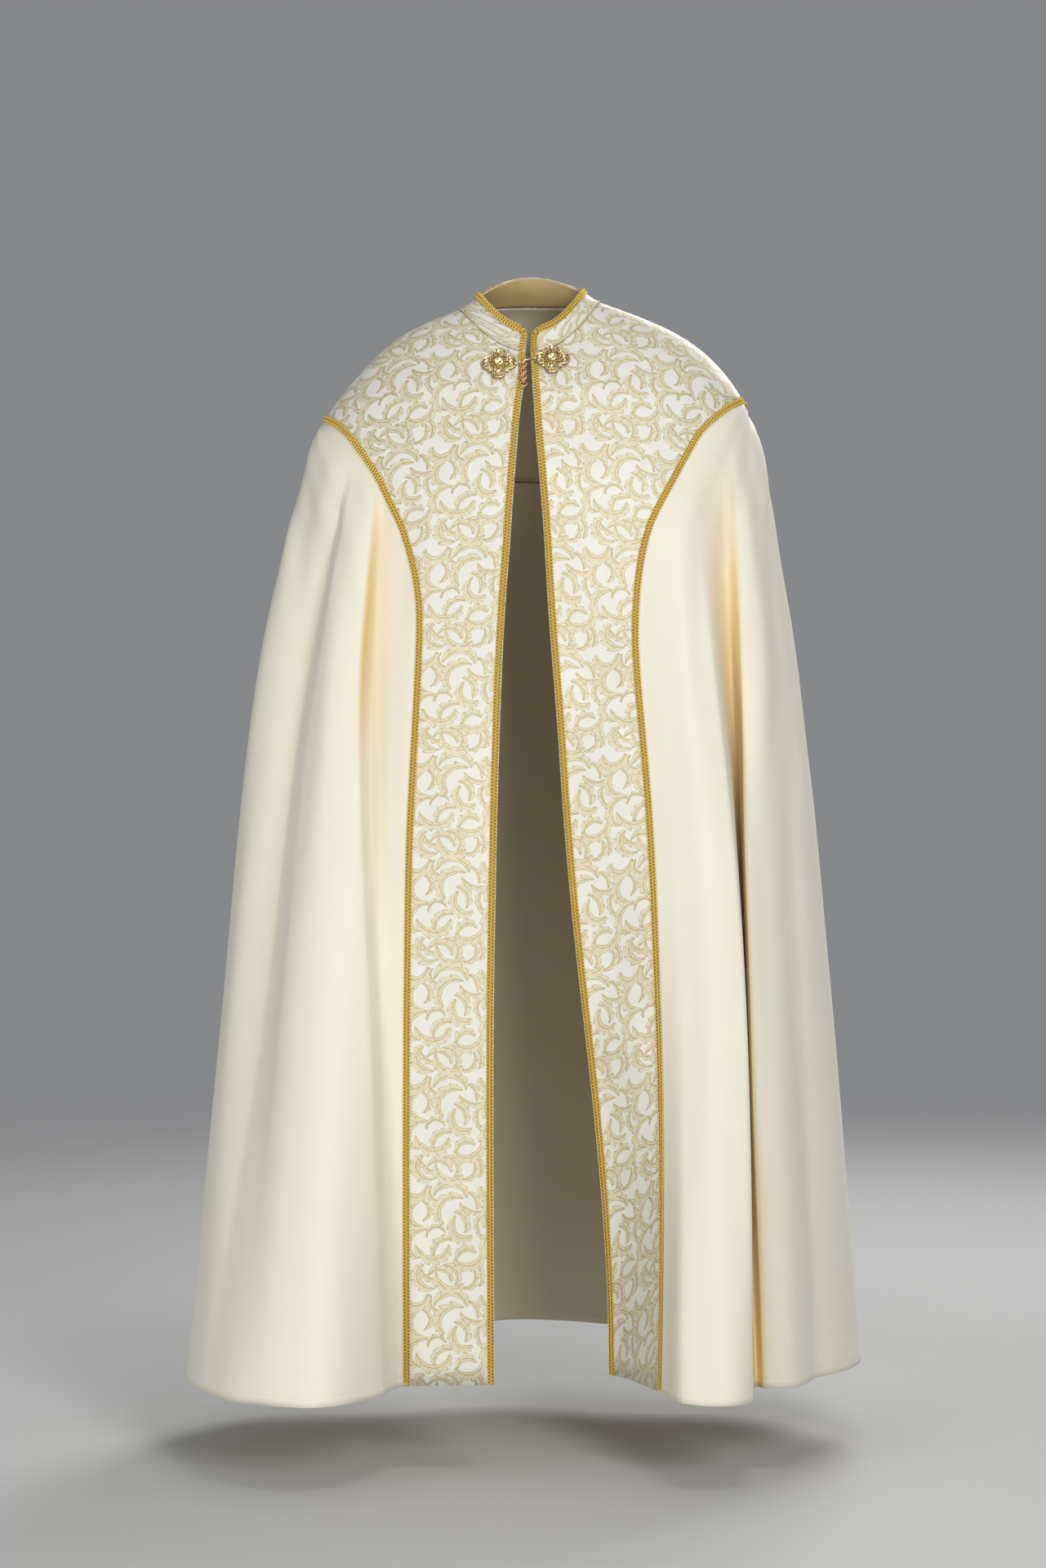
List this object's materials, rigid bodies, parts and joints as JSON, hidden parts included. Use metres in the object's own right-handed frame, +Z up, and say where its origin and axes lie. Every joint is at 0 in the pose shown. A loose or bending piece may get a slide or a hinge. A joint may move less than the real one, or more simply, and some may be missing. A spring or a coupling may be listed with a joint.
{
  "type": "cope",
  "caption": "Full-length cope in its worn pose: ivory mantle, brocade yoke and front bands, gold braid, standing collar and a hooked clasp with a hanging chain.",
  "frame": {"origin": "between the shoulders at neck height, on the line from shoulder to shoulder that carries the cloak", "axes": "+Z up the wearer's back, the front opening faces -Y, +X is to the right as seen from the front"},
  "size_m": [0.8868, 0.6808, 1.4357],
  "materials": {
    "ivory_wool": "fine crepe wool with a soft sheen",
    "ivory_brocade": "satin ground with woven pale gold leaf scrolls",
    "tan_satin": "satin lining",
    "gold_braid": "metallic gold loop braid",
    "gold_metal": "polished gold-coloured metal with dark recesses"
  },
  "bodies": {
    "cloak": {"mantle": "ivory_wool", "orphrey_left": "ivory_brocade", "orphrey_right": "ivory_brocade", "yoke_back": "ivory_brocade", "collar": "ivory_brocade", "collar_facing": "tan_satin", "braid_edge_left": "gold_braid", "braid_edge_right": "gold_braid", "braid_seam_left": "gold_braid", "braid_seam_right": "gold_braid", "braid_yoke_back": "gold_braid", "braid_collar": "gold_braid", "clasp_plate_left": "gold_metal", "clasp_plate_right": "gold_metal", "clasp_hook": "gold_metal"},
    "chain": {"chain_link_1": "gold_metal", "chain_link_2": "gold_metal", "chain_link_3": "gold_metal", "chain_link_4": "gold_metal", "chain_link_5": "gold_metal", "chain_link_6": "gold_metal", "chain_link_7": "gold_metal", "chain_end_ring": "gold_metal"}
  },
  "joints": [
    {"name": "chain_swing", "type": "hinge", "parent": "cloak", "child": "chain", "pos_m": [-0.0074, -0.103, -0.061], "axis": [-1, 0, 0], "range_deg": [0, 60]}
  ]
}
